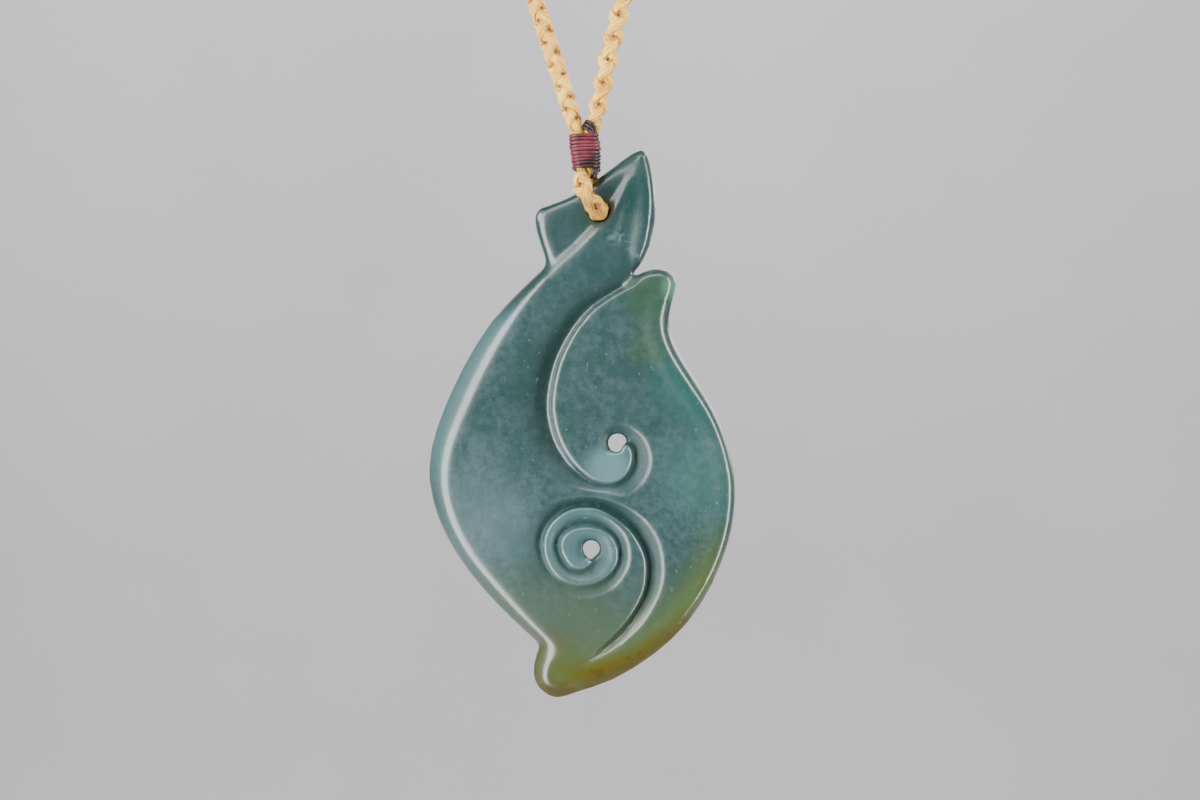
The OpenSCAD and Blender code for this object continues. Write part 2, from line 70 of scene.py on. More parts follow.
# Jade hook: ground from a slab of nephrite jade, its edge bevelled, then hollowed and scrolled by hand
# and polished. The braid passes through a hole drilled in its head.
VOXEL = 0.238 * MM
JOINING = 0.0001 * MM
POLISH_PASSES = 7
FEELING_PASSES = 14
RUBBING_PASSES = 36
LONG_CREST = [
    (-6.6, -8.9), (-8.5, -10.6), (-11.3, -14.7), (-14.5, -20.3), (-17.2, -26), (-19.2, -30.9),
    (-19.7, -35.6), (-18.7, -40.3), (-16.2, -44.8), (-12.4, -49.1), (-9, -53), (-6.5, -55.6)]
CREST_END_ON_HEAD = [(-6.1, -7.8), (-2.5, -5.2), (0.1, -2.5), (2.7, 1), (4.8, 4.5), (5.4, 6)]
HEAD_HOLLOW = [(4.9, 3.2), (4.3, 0.5), (3.9, -1.8), (3.9, -4.4), (3.9, -6.6), (3.9, -8.6)]
HEAD_RIGHT_EDGE = [(6.1, 6.1), (6.45, 1.6), (6, -3), (5.3, -4.7)]
HEAD_LEFT_EDGE = [(-6.5, -6.4), (-7.3, -1.7), (-6.6, -0.2), (-3, 1.6), (4.3, 6.4)]
BARB_DISH = [
    (6.6, -11.2), (5, -14.3), (4.7, -17.4), (6.2, -21.2), (8.8, -25), (11.6, -28.4), (13, -31.8),
    (13.6, -35.2), (13.8, -38.7), (13, -43), (11.5, -47.6), (9, -52)]
BARB_CREST = [
    (7.5, -13), (8.6, -18.2), (11.6, -22.9), (14.7, -27.3), (15.7, -29.6), (16.9, -34.8), (16.8, -38.1),
    (15.7, -43.3), (14.7, -46.5)]
# Lines of the face, in millimetres from the suspension hole, that are rubbed rounder, with how far
# the rubbing reaches beside each
RUBBED = [
    (2.3, LONG_CREST),
    (1.2, CREST_END_ON_HEAD),
    (1.3, HEAD_HOLLOW),
    (1, HEAD_RIGHT_EDGE),
    (1, HEAD_LEFT_EDGE),
    (1.6, BARB_DISH),
    (1.5, BARB_CREST),
]
HOLE_X, HOLE_Z = 1.7, -235
# How high a crest stands, or how deep a crevice lies, for its painted highlight or shade to show in full
FULL_CARVING = 0.3 * MM
# Middle and half sizes of the ground lens that the face was carved from, and the slab's middle plane
LENS_MIDDLE = (-0.1, -264.6)
LENS_HALF_WIDTH, LENS_HALF_HEIGHT = 53, 62
FACE_RISE = 3.5
MIDDLE_PLANE = -115

# Colours of the stone, and of the light and shade painted on it, as they look on a screen
TEAL_SHADE, TEAL_LIGHT = (31, 55, 56), (53, 76, 76)
GREENER_TEAL = (27, 58, 53)
CLOUD_GREY = (66, 86, 85)
PAINTED_HOLLOW_SHADE = (26, 52, 47)
PAINTED_CREVICE_SHADE = (20, 42, 36)
PAINTED_CREST_HIGHLIGHT = (98, 130, 128)
SCROLL_SHADE_TEAL = (26, 54, 50)
HEAD_TEAL = (26, 58, 56)
PAINTED_RIDGE_LIGHT = (100, 136, 140)
PAINTED_BEVEL_LIGHT = (98, 140, 142)
LOW_FACE_OLIVE = (62, 76, 56)
RIND_GREEN = (64, 80, 28)
RIND_BROWN = (70, 62, 0)
RIND_UNDER_TAIL = (64, 56, 4)
RIND_SPECKS = (46, 30, 4)
FLECK_GREY = (120, 142, 130)
GRAIN_GREY = (112, 146, 140)
# Patches of other stone, and of painted light or shade, on the face. Columns: middle x and z, how far from it
# the patch is full and how far it reaches, in millimetres, its strength and its colour
BELLY_PATCHES = [
    (14.5, -257, 2, 9, 0.65, (30, 78, 72)),
]
# Painted shade in the head's hollow, right of its crest
HEAD_HOLLOW_SHADE = [
    (7.4, -233.5, 1, 6, 0.6, (12, 52, 47)),
]
# The first is painted glow around the long left crest's highlight; the second is paler stone inside the right
# crest
CREST_GLOW_AND_PALE_PATCHES = [
    (-14, -276, 1, 12, 0.24, (112, 134, 138)),
    (15, -269, 1, 9, 0.22, (74, 122, 112)),
]
# Greener stone at the barb; the last is pale green stone with a painted highlight at the barb's tip
BARB_GREEN_AND_TIP_GLOW = [
    (8.5, -246.5, 1, 6, 0.65, (40, 68, 44)),
    (8, -252, 0.5, 4.5, 0.5, (44, 70, 44)),
    (11.8, -244.8, 0.5, 2.6, 0.75, (84, 124, 98)),
]
TAIL_PATCHES = [
    (-5.4, -294, 1.5, 6.5, 0.8, (64, 60, 34)),
]
# The polishing wheel didn't reach into the two scrolls, nor wholly under the head's crest.
# Columns: middle x and z, how far it is full and how far it reaches, and its strength
SATIN_PLACES = [
    (1.5, -279, 9.5, 13, 1),
    (5.5, -265, 4.5, 8, 1),
    (4.6, -231.8, 1.5, 4, 0.5),
    (6.7, -229.2, 1.5, 3.5, 0.7),
]
# The range, in millimetres, over which the edge of a patch can wander in and out
PATCH_DRIFT = 5
# Painted light makes the ridges of the low scroll and the barb's tongue paler. Columns: middle x and z, how
# far the painted light reaches and how far it is full
LOW_SCROLL_RIDGES = (-0.6, -278.4, 5.6, 4.6)
TONGUE = (3.2, -268.2, 4.4, 1.2)
# Pale grains in the head. Columns as for a satin place, but without a strength
GRAINS = (4.8, -238.8, 1, 3.4)
# The left bevel and the lower right rim each run nearly round a middle
BEVEL_MIDDLE = (7.8, -269.2)
RIND_MIDDLE = (-2.3, -274.5)


class Shade:
    """A socket in a material. Sums and products of shades and numbers add the nodes that work them out."""

    def __init__(self, tree, socket=None):
        self.tree = tree
        self.socket = socket

    def node(self, kind, settings=None, sockets=None, out=0):
        """Any other node: its type, its settings, the values or shades of its sockets, and which output."""
        made = self.tree.nodes.new(kind)
        for name, value in (settings or {}).items():
            setattr(made, name, value)
        for name, value in (sockets or {}).items():
            if isinstance(value, Shade):
                self.tree.links.new(value.socket, made.inputs[name])
            else:
                made.inputs[name].default_value = value
        return Shade(self.tree, made.outputs[out]) if made.outputs else None

    def maths(self, operation, first, second=0.0):
        return self.node("ShaderNodeMath", {"operation": operation}, {0: first, 1: second})

    def __add__(self, other):
        return self.maths("ADD", self, other)

    def __sub__(self, other):
        return self.maths("SUBTRACT", self, other)

    def __rsub__(self, other):
        return self.maths("SUBTRACT", other, self)

    def __mul__(self, other):
        return self.maths("MULTIPLY", self, other)

    __radd__ = __add__
    __rmul__ = __mul__

    def rise(self, low, high):
        """0 below low and 1 above high, smooth between; the other way round where low is above high."""
        return self.node("ShaderNodeMapRange", {"interpolation_type": "SMOOTHSTEP"},
                         {"Value": self, "From Min": low, "From Max": high})

    def between(self, start, end):
        """A colour from start, where this shade is 0, to end, where it is 1."""
        return self.node("ShaderNodeMix", {"data_type": "RGBA"}, {0: self, 6: start, 7: end}, out=2)


def colour(red, green, blue):
    """A colour given as it looks on a screen, 0 to 255, in the linear form that a shader takes."""
    def linear(value):
        value /= 255
        return value / 12.92 if value <= 0.04045 else ((value + 0.055) / 1.055) ** 2.4
    return (linear(red), linear(green), linear(blue), 1)


def new_finish(name):
    """A material with its tree cleared, a shade to start from, and the surface's own coordinates."""
    material = bpy.data.materials.new(name)
    material.use_nodes = True
    material.node_tree.nodes.clear()
    start = Shade(material.node_tree)
    place = start.node("ShaderNodeTexCoord", out=3)
    return material, start, place


def axes_of(vector):
    """The three parts of a place or of another vector."""
    parts = vector.node("ShaderNodeSeparateXYZ", sockets={0: vector})
    return [Shade(parts.tree, part) for part in parts.socket.node.outputs]


def layered(tone, layers):
    """A colour under layers. Each is where it shows and how strongly, and its colour."""
    for mask, over in layers:
        tone = mask.between(tone, colour(*over))
    return tone


def surface(start, colour_shade, uniform, **varying):
    """The shader at the end of a finish: uniform values sit on its own sockets."""
    shader = start.node("ShaderNodeBsdfPrincipled", sockets={
        **uniform, "Base Color": colour_shade, **varying})
    start.node("ShaderNodeOutputMaterial", sockets={"Surface": shader})


def cloud(place, size, detail=3, roughness=0.5, warp=0.0):
    """Soft noise whose lumps are about size metres across."""
    return place.node("ShaderNodeTexNoise", sockets={
        "Vector": place, "Scale": 1 / size, "Detail": detail, "Roughness": roughness, "Distortion": warp})


def finished(thing, material, node_names):
    """Links a finished mesh as the piece that stands for CAD nodes."""
    bpy.context.scene.collection.objects.link(thing)
    thing.data.materials.clear()
    thing.data.materials.append(material)
    for face in thing.data.polygons:
        face.use_smooth = True
    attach(thing, "root")
    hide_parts(*node_names)


def applied(thing):
    """The mesh that an unlinked object's curve or modifiers come to."""
    bpy.context.scene.collection.objects.link(thing)
    bpy.context.view_layer.update()
    mesh = bpy.data.meshes.new_from_object(thing.evaluated_get(bpy.context.evaluated_depsgraph_get()))
    bpy.data.objects.remove(thing)
    return mesh


def distance_to(line, x, z):
    """How far a place on the face is from a line through points."""
    nearest = math.inf
    for (x1, z1), (x2, z2) in zip(line, line[1:]):
        along_x, along_z = x2 - x1, z2 - z1
        part = ((x - x1) * along_x + (z - z1) * along_z) / (along_x ** 2 + along_z ** 2)
        part = min(1, max(0, part))
        nearest = min(nearest, math.hypot(x1 + part * along_x - x, z1 + part * along_z - z))
    return nearest


def rub(shape, vertices, passes):
    """Moves each vertex half way to the middle of its neighbours, again and again."""
    for _ in range(passes):
        bmesh.ops.smooth_vert(shape, verts=vertices, factor=0.5,
                              use_axis_x=True, use_axis_y=True, use_axis_z=True)


def ground_stone():
    """The carved solid, joined up and cut anew into even faces, then rubbed smooth."""
    carved = bmesh.new()
    carved.from_mesh(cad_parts["jade_hook"].data)
    bmesh.ops.remove_doubles(carved, verts=carved.verts, dist=JOINING)
    rough = bpy.data.meshes.new("rough_stone")
    carved.to_mesh(rough)
    carved.free()
    block = bpy.data.objects.new("rough_stone", rough)
    recut = block.modifiers.new("recut", "REMESH")
    recut.mode = "VOXEL"
    recut.voxel_size = VOXEL
    stone = applied(block)
    polished = bmesh.new()
    polished.from_mesh(stone)
    rub(polished, polished.verts, POLISH_PASSES)
    for reach, line in RUBBED:
        near = [vertex for vertex in polished.verts if vertex.co.y < MIDDLE_PLANE * MM
                and distance_to(line, vertex.co.x / MM - HOLE_X, vertex.co.z / MM - HOLE_Z) < reach]
        rub(polished, near, RUBBING_PASSES)
    polished.to_mesh(stone)
    # A much smoother copy tells the crests, which stand out of it, from the crevices, which lie under it
    rub(polished, polished.verts, FEELING_PASSES)
    polished.verts.ensure_lookup_table()
    carving = stone.attributes.new("carving", "FLOAT", "POINT")
    for vertex, smoother, value in zip(stone.vertices, polished.verts, carving.data):
        value.value = (vertex.co - smoother.co).dot(vertex.normal) / FULL_CARVING
    polished.free()
    return stone


def jade_finish():
    """Deep teal clouded stone with a brown rind, painted light on its crests and painted shade in its
    hollows.
    """
    material, start, place = new_finish("polished_jade")
    across, front, up = [axis * (1 / MM) for axis in axes_of(place)]
    drift = cloud(place, 9 * MM, detail=4, warp=0.6) - 0.5
    flat = start.node("ShaderNodeVectorMath", {"operation": "MULTIPLY"}, {0: place, 1: (1, 0, 1)})

    def away_from(x, z):
        """Millimetres from a place on the face, as the face is seen from the front."""
        return start.node("ShaderNodeVectorMath", {"operation": "DISTANCE"},
                          {0: flat, 1: (x * MM, 0, z * MM)}, out=1) * (1 / MM)

    def spot(x, z, full, none):
        """1 within full millimetres of a place on the face, and 0 from none outwards."""
        return (away_from(x, z) + drift * PATCH_DRIFT).rise(none, full)

    def patches(rows):
        return [(spot(x, z, full, none) * strength, tone) for x, z, full, none, strength, tone in rows]

    # How far the surface lies under the lens's face: 0 on the crests, 1.9 in the deepest hollow
    aside = (across - LENS_MIDDLE[0]) * (1 / LENS_HALF_WIDTH)
    above = (up - LENS_MIDDLE[1]) * (1 / LENS_HALF_HEIGHT)
    faces_front = (front - MIDDLE_PLANE).rise(0.6, -0.6)
    depth = (front - MIDDLE_PLANE + (1 - aside * aside - above * above) * FACE_RISE) * faces_front
    carving = start.node("ShaderNodeAttribute", {"attribute_name": "carving"}, out=2)

    fine = cloud(place, 0.9 * MM, detail=6, roughness=0.75, warp=0.2)
    broad = cloud(place, 7 * MM, detail=4, roughness=0.55, warp=0.8)
    middling = cloud(place, 4 * MM, detail=5, roughness=0.6, warp=0.5)
    flecks = cloud(place, 0.6 * MM, detail=2, roughness=0.6).rise(0.64, 0.8) * broad.rise(0.4, 0.6)
    grains = cloud(place, 1.3 * MM, detail=3, roughness=0.6).rise(0.52, 0.68) * spot(*GRAINS)

    unpolished = 0.0
    for x, z, full, none, strength in SATIN_PLACES:
        unpolished = start.maths("MAXIMUM", unpolished, spot(x, z, full, none) * strength)
    matt = depth.rise(0.08, 0.4) * unpolished * carving.rise(0.45, 0.05) * 0.9

    def disc(x, z, none, full):
        """As a spot, with an even edge."""
        return away_from(x, z).rise(none, full)

    # Painted light on the higher parts of the low scroll's ridges and of the tongue
    ridges = start.maths("MAXIMUM", disc(*LOW_SCROLL_RIDGES) * 0.5, disc(*TONGUE)) * depth.rise(0.75, 0.25)
    # Painted light on the left bevel, which faces the left lamp
    bevel = (away_from(*BEVEL_MIDDLE).rise(24.8, 26.4) * up.rise(-274, -264) * up.rise(-244, -250)
             * across.rise(-7, -12) * faces_front)

    # The rind shows along the lower right rim and under the tail
    outward = away_from(*RIND_MIDDLE) + drift * 1.6
    green = outward.rise(14.5, 20.5) * (up + drift * 5).rise(-273, -283) * (across * 0.7).rise(-6, -1)
    brown = outward.rise(18, 20.2) * (up + drift * 3).rise(-284.5, -290) * across.rise(-5, 1)
    under_tail = (up + drift * 1.2 + across * 0.12).rise(-295.6, -297.4)
    rind = start.maths("MAXIMUM", brown, under_tail)
    specks = rind * cloud(place, 1.2 * MM, detail=4, roughness=0.7).rise(0.5, 0.7)

    body = layered(fine.rise(0.34, 0.66).between(colour(*TEAL_SHADE), colour(*TEAL_LIGHT)), [
        (broad.rise(0.42, 0.62) * 0.7, GREENER_TEAL),
        (middling.rise(0.46, 0.72) * 0.2, CLOUD_GREY),
        *patches(BELLY_PATCHES),
        # Painted shade: the deeper a hollow lies, the darker
        (depth.rise(0.2, 1.7) * 0.7, PAINTED_HOLLOW_SHADE),
        # Painted shade in the crevices, which lie under the smoother copy
        (carving.rise(0, -1) * 0.75, PAINTED_CREVICE_SHADE),
        # Painted highlight on the crests, which stand out of the smoother copy
        (carving.rise(0.1, 0.9) * 0.5, PAINTED_CREST_HIGHLIGHT),
        # Painted shade on the unpolished slopes in the scrolls and under the head's crest, which are also
        # rougher
        (matt * 0.5, SCROLL_SHADE_TEAL),
        (up.rise(-253, -240) * 0.4, HEAD_TEAL),
        *patches(HEAD_HOLLOW_SHADE),
        *patches(CREST_GLOW_AND_PALE_PATCHES),
        (ridges * 0.5, PAINTED_RIDGE_LIGHT),
        (bevel * 0.24, PAINTED_BEVEL_LIGHT),
        *patches(BARB_GREEN_AND_TIP_GLOW),
        ((up + drift * 8).rise(-278, -289) * 0.7, LOW_FACE_OLIVE),
        *patches(TAIL_PATCHES),
        (green * 0.8, RIND_GREEN),
        (brown * 0.92, RIND_BROWN),
        (under_tail * 0.8, RIND_UNDER_TAIL),
        (specks * 0.6, RIND_SPECKS),
        (flecks * 0.5, FLECK_GREY),
        (grains * 0.36, GRAIN_GREY),
    ])
    ripple = start.node("ShaderNodeBump", {}, {
        "Strength": 0.04, "Distance": 0.2 * MM, "Height": cloud(place, 1.6 * MM, detail=3)})
    stone = {"Base Color": body, "Normal": ripple, "IOR": 1.61, "Subsurface Weight": 0.12,
             "Subsurface Radius": (0.5, 1.0, 0.9), "Subsurface Scale": 0.5 * MM}
    polished = start.node("ShaderNodeBsdfPrincipled", sockets={
        **stone, "Roughness": fine * 0.12 + 0.27, "Coat Weight": 0.5, "Coat Roughness": 0.17})
    satin = start.node("ShaderNodeBsdfPrincipled", sockets={
        **stone, "Roughness": 0.55, "Specular IOR Level": 0.12})
    both = start.node("ShaderNodeMixShader", sockets={
        0: start.maths("MAXIMUM", matt, rind * 0.85), 1: polished, 2: satin})
    start.node("ShaderNodeOutputMaterial", sockets={"Surface": both})
    return material


hook = bpy.data.objects.new("carved_hook", ground_stone())
finished(hook, jade_finish(), ["jade_hook"])


# Braided cord: a round braid of four flat strands of waxed thread. One cord runs from the nape through
# the stone's hole and back, and its two legs are lashed together above the stone.
# Columns of a route: x, y, z and the braid's radius there, in millimetres, from the hole to the nape
LEFT_ROUTE = [
    (1.7, -115, -235, 1.38),
    (1.65, -117.2, -234.95, 1.33),
    (1.35, -118.8, -234.6, 1.2),
    (0.4, -119.3, -233.5, 1.2),
    (-0.4, -118.7, -232.1, 1.2),
    (-0.6, -117.4, -231, 1.05),
    (-0.5, -116.2, -229.95, 0.72),
    (-0.6, -115.8, -228.4, 0.7),
    (-1.05, -115, -224.8, 0.85),
    (-1.35, -115, -223.9, 0.95),
    (-1.7, -115, -222.8, 1.1),
    (-2.6, -114.9, -220, 1.2),
    (-6.6, -114.2, -207.4, 1.2),
    (-17, -110, -175, 1.2),
    (-42, -88, -98, 1.2),
    (-52, -70, -62, 1.2),
    (-58, -48, -33, 1.2),
    (-55, -25, -13, 1.2),
    (-42, -8, -4, 1.2),
    (-22, 0.4, -0.4, 1.2),
    (0, 1.75, 0, 1.2),
]
RIGHT_ROUTE = [
    (1.7, -115, -235, 1.38),
    (1.75, -112.7, -235, 1.33),
    (1.65, -111.2, -234.45, 1.2),
    (1.5, -110.5, -233.1, 1.2),
    (1.2, -110.9, -231.8, 1.1),
    (0.8, -112.15, -231, 0.93),
    (0.5, -113.8, -229.9, 0.72),
    (0.6, -114.2, -228.4, 0.7),
    (0.5, -115, -224.8, 0.85),
    (0.85, -115, -223.9, 0.95),
    (1.3, -115, -222.6, 1.1),
    (2, -114.9, -219.5, 1.2),
    (4.8, -114.2, -207.4, 1.2),
    (14, -110, -175, 1.2),
    (41, -88, -98, 1.2),
    (52, -70, -62, 1.2),
    (58, -48, -33, 1.2),
    (55, -25, -13, 1.2),
    (42, -8, -4, 1.2),
    (22, 0.4, -0.4, 1.2),
    (0, 1.75, 0, 1.2),
]
FULL_RADIUS = 1.2
STEP = 0.45
BRAID_PITCH = 6
# Where the braid's crossings come along the cord
BRAID_START = 1.15
STRAND_RING = 0.6
STRAND_WEAVE = 0.26
# The threads lie over the outer side of a strand, which is wider than it is thick
THREADS_IN_STRAND = 6
STRAND_HALF_WIDTH = 0.5
STRAND_HALF_THICKNESS = 0.28
THREAD_FAN = math.radians(100)
THREAD_RADIUS = 0.22
THREAD_SIDES = 5
# Heights between which the lashing hides the two legs, and one at which they are well seen
LASHED_FROM, LASHED_TO = -229.8, -224.7
SEEN_HEIGHT = -212

# Scale of the fibres' pattern across a strand, along it, and from one strand to the next
FIBRE_STRETCH = (5, 0.4, 1)
# Colours of the waxed cord, and of the shade painted on it, as they look on a screen
WAX_GOLD, WAX_STRAW = (214, 150, 30), (248, 196, 70)
FIBRE_PALE = (255, 226, 132)
FIBRE_BROWN = (160, 98, 36)
STRAND_EDGE_SHADE = (132, 74, 20)
CORD_CREVICE_SHADE = (96, 50, 12)
HOLE_END_SHADE = (126, 80, 30)


def smooth_route(rows, step=STEP):
    """Points even steps apart along the smooth curve through the rows."""
    rows = [Vector(row) for row in rows]
    points = []
    for i in range(len(rows) - 1):
        here, there = rows[i], rows[i + 1]
        before, after = rows[max(i - 1, 0)], rows[min(i + 2, len(rows) - 1)]
        steps = max(4, round(4 * (there.xyz - here.xyz).length / step))
        for k in range(steps):
            t = k / steps
            points.append(0.5 * (2 * here + (there - before) * t
                                 + (2 * before - 5 * here + 4 * there - after) * t ** 2
                                 + (3 * here - before - 3 * there + after) * t ** 3))
    points.append(rows[-1])
    lengths = [0]
    for here, there in zip(points, points[1:]):
        lengths.append(lengths[-1] + (there.xyz - here.xyz).length)
    even = []
    count = round(lengths[-1] / step)
    k = 0
    for i in range(count + 1):
        along = lengths[-1] * i / count
        while k < len(points) - 2 and lengths[k + 1] < along:
            k += 1
        even.append(points[k].lerp(points[k + 1], (along - lengths[k]) / (lengths[k + 1] - lengths[k])))
    return even


def stations(points):
    """For each point: its place, how far along it is, its size against the full braid, two sideways axes."""
    found = []
    side = Vector((0, 0, 1))
    travelled = 0
    for i, point in enumerate(points):
        ahead = (points[min(i + 1, len(points) - 1)].xyz - points[max(i - 1, 0)].xyz).normalized()
        side = (side - side.dot(ahead) * ahead).normalized()
        if i:
            travelled += (point.xyz - points[i - 1].xyz).length
        found.append((point.xyz, travelled, point.w / FULL_RADIUS, side.copy(), ahead.cross(side)))
    return found


def roll_to_show(cord, crossings_beside):
    """The turn that a leg gets within the lashing, so that its strands cross beside it or before it."""
    _, _, _, side, up = min(cord, key=lambda station: abs(station[0].z - SEEN_HEIGHT))
    return math.atan2(up.x, side.x) + (math.pi / 4 if crossings_beside else 0)


def braid_strands(cord, roll):
    """For each strand, and each of its points: its middle, the way out, the way aside and its number."""
    strands = []
    for hand, number in ((1, 0), (1, 1), (-1, 0), (-1, 1)):
        middles, outwards = [], []
        for place, travelled, size, side, up in cord:
            turned = 2 * math.pi * (travelled + BRAID_START) / BRAID_PITCH
            ring = (STRAND_RING + hand * STRAND_WEAVE * math.cos(2 * turned - math.pi / 2)) * size
            lashed = min(1, max(0, (place.z - LASHED_FROM) / (LASHED_TO - LASHED_FROM)))
            angle = hand * turned + math.pi * number + (0 if hand > 0 else math.pi / 2)
            angle += roll * lashed * lashed * (3 - 2 * lashed)
            outwards.append(math.cos(angle) * side + math.sin(angle) * up)
            middles.append(place + ring * outwards[-1])
        strand = []
        for i, (middle, outward) in enumerate(zip(middles, outwards)):
            ahead = (middles[min(i + 1, len(middles) - 1)] - middles[max(i - 1, 0)]).normalized()
            outward = (outward - outward.dot(ahead) * ahead).normalized()
            strand.append((middle, outward, ahead.cross(outward), i))
        strands.append(strand)
    return strands


def thread_paths(cord, strand):
    """The paths of the threads that lie over a strand's outer side."""
    paths = []
    for thread in range(THREADS_IN_STRAND):
        angle = THREAD_FAN * (2 * thread / (THREADS_IN_STRAND - 1) - 1)
        out, beside = STRAND_HALF_THICKNESS * math.cos(angle), STRAND_HALF_WIDTH * math.sin(angle)
        paths.append([(middle + (out * outward + beside * aside) * cord[i][2]) * MM
                      for middle, outward, aside, i in strand])
    return paths


def feel_strands(mesh, cord, strands):
    """Stores for each vertex how far it stands out of the cord, and its place across and along its strand."""
    rows = [(number, *row) for number, strand in enumerate(strands) for row in strand]
    nearest = KDTree(len(rows))
    for i, row in enumerate(rows):
        nearest.insert(row[1] * MM, i)
    nearest.balance()
    proud = mesh.attributes.new("proud", "FLOAT", "POINT")
    lay = mesh.attributes.new("lay", "FLOAT_VECTOR", "POINT")
    for vertex, stands_out, place_in_strand in zip(mesh.vertices, proud.data, lay.data):
        number, middle, _, aside, i = rows[nearest.find(vertex.co)[1]]
        size = cord[i][2]
        stands_out.value = (vertex.co / MM - cord[i][0]).length / size
        across = (vertex.co / MM - middle).dot(aside) / size / (STRAND_HALF_WIDTH + THREAD_RADIUS)
        place_in_strand.vector = (across, cord[i][1], number * 5)


def threads_mesh(name, paths, radius):
    """One mesh of round threads along paths of points."""
    outline = bpy.data.curves.new("thread_outline", "CURVE")
    ring = outline.splines.new("POLY")
    ring.points.add(THREAD_SIDES - 1)
    ring.use_cyclic_u = True
    for i, target in enumerate(ring.points):
        angle = -2 * math.pi * i / THREAD_SIDES
        target.co = (radius * math.cos(angle), radius * math.sin(angle), 0, 1)
    section = bpy.data.objects.new("thread_outline", outline)
    curve = bpy.data.curves.new(name, "CURVE")
    curve.dimensions = "3D"
    curve.bevel_mode = "OBJECT"
    curve.bevel_object = section
    curve.use_fill_caps = True
    for path in paths:
        spline = curve.splines.new("POLY")
        spline.points.add(len(path) - 1)
        for point, target in zip(path, spline.points):
            target.co = (*point, 1)
    mesh = applied(bpy.data.objects.new(name, curve))
    bpy.data.objects.remove(section)
    # The end caps are joined to their threads
    shape = bmesh.new()
    shape.from_mesh(mesh)
    bmesh.ops.remove_doubles(shape, verts=shape.verts, dist=JOINING)
    shape.to_mesh(mesh)
    shape.free()
    return mesh


def cord_finish():
    """Straw-coloured wax with fibres along the strands, and painted shade on strand edges, in crevices and by
    the hole.
    """
    material, start, place = new_finish("waxed_cord")
    tone = cloud(place, 2.2 * MM, detail=4, roughness=0.6)
    lay = start.node("ShaderNodeAttribute", {"attribute_name": "lay"}, out=1)
    stretched = lay.node("ShaderNodeVectorMath", {"operation": "MULTIPLY"}, {0: lay, 1: FIBRE_STRETCH})
    fibre = lay.node("ShaderNodeTexNoise", sockets={"Vector": stretched, "Scale": 1.0, "Detail": 3.0})
    across = axes_of(lay)[0]
    edge = across.maths("ABSOLUTE", across)
    proud = start.node("ShaderNodeAttribute", {"attribute_name": "proud"}, out=2)
    up = axes_of(place)[2] * (1 / MM)
    wax = layered(tone.rise(0.32, 0.68).between(colour(*WAX_GOLD), colour(*WAX_STRAW)), [
        (fibre.rise(0.42, 0.68) * 0.7, FIBRE_PALE),
        (fibre.rise(0.5, 0.3) * 0.5, FIBRE_BROWN),
        # Painted shade along the strands' edges and in the crevices between them
        (edge.rise(0.45, 0.95) * proud.rise(1.35, 1) * 0.85, STRAND_EDGE_SHADE),
        ((proud + tone * 0.3).rise(1.1, 0.7) * 0.9, CORD_CREVICE_SHADE),
        # Painted shade on the cord's lower end, where it goes into the hole
        ((up + tone * 2).rise(-229.5, -234.5) * 0.55, HOLE_END_SHADE),
    ])
    fuzz = start.node("ShaderNodeBump", {}, {"Strength": 0.4, "Distance": 0.05 * MM, "Height": fibre})
    surface(start, wax, {"Specular IOR Level": 0.3}, Roughness=tone * 0.2 + 0.42, Normal=fuzz)
    return material


waxed_cord = cord_finish()
right_leg = smooth_route(RIGHT_ROUTE)
left_leg = smooth_route(LEFT_ROUTE)
whole_cord = stations(right_leg[::-1] + left_leg[1:])
legs = {"right": whole_cord[:len(right_leg)], "left": whole_cord[len(right_leg) - 1:]}
for leg, cord in legs.items():
    roll = roll_to_show(cord, leg == "right")
    strands = braid_strands(cord, roll)
    paths = [path for strand in strands for path in thread_paths(cord, strand)]
    mesh = threads_mesh(f"braid_strands_{leg}", paths, THREAD_RADIUS * MM)
    feel_strands(mesh, cord, strands)
    finished(bpy.data.objects.new(f"braid_strands_{leg}", mesh), waxed_cord, [f"braid_{leg}"])


# Lashing: waxed maroon thread wound tightly round the two legs above the stone. Its ends are cut short
# and stand out below, and three turns are drawn tight between the legs at its top.
# Columns: middle x, y and z, half width and half depth, in millimetres, from the bottom up
LASHING_ROWS = [
    (0.1, -115, -229.8, 1.85, 2.75),
    (0.05, -115, -228.4, 1.95, 2.1),
    (-0.1, -115, -226.5, 2.1, 1.75),
    (-0.3, -115, -224.7, 1.95, 1.45),
]
OUTLINE_POWER = 3.6
TURN_PITCH = 0.45
WOUND_RADIUS = 0.265
STEPS_A_TURN = 40
# The turns stray up and down in two waves of the first size, less towards the ends, and in and out in
# one wave of the second
STRAY_HEIGHT = 0.03
STRAY_OUT = 0.05
CUT_ENDS = [
    [(1.5, -116.6, -229.4), (1.45, -117.1, -229.9), (1.25, -117.3, -230.4), (1.0, -117.25, -230.9)],
    [(1.2, -117.1, -229.5), (1.1, -117.4, -229.9), (0.8, -117.2, -230.3), (0.75, -116.9, -230.7)],
]

# Colours of the waxed thread, and of the shade painted on it, as they look on a screen
DYE_DEEP, DYE_RED = (58, 10, 22), (108, 30, 46)
FIBRE_RED = (158, 70, 88)
DARK_KNOT_AND_SHADE = (16, 4, 9)


def lashing_row(height):
    """The lashing's middle and half sizes at a height."""
    for low, high in zip(LASHING_ROWS, LASHING_ROWS[1:]):
        if height <= high[2]:
            part = (height - low[2]) / (high[2] - low[2])
            return [a + (b - a) * part for a, b in zip(low, high)]
    return LASHING_ROWS[-1]


def rounded(value):
    """A sine or cosine bent so that a turn round the legs is a rounded oblong."""
    return math.copysign(abs(value) ** (2 / OUTLINE_POWER), value)


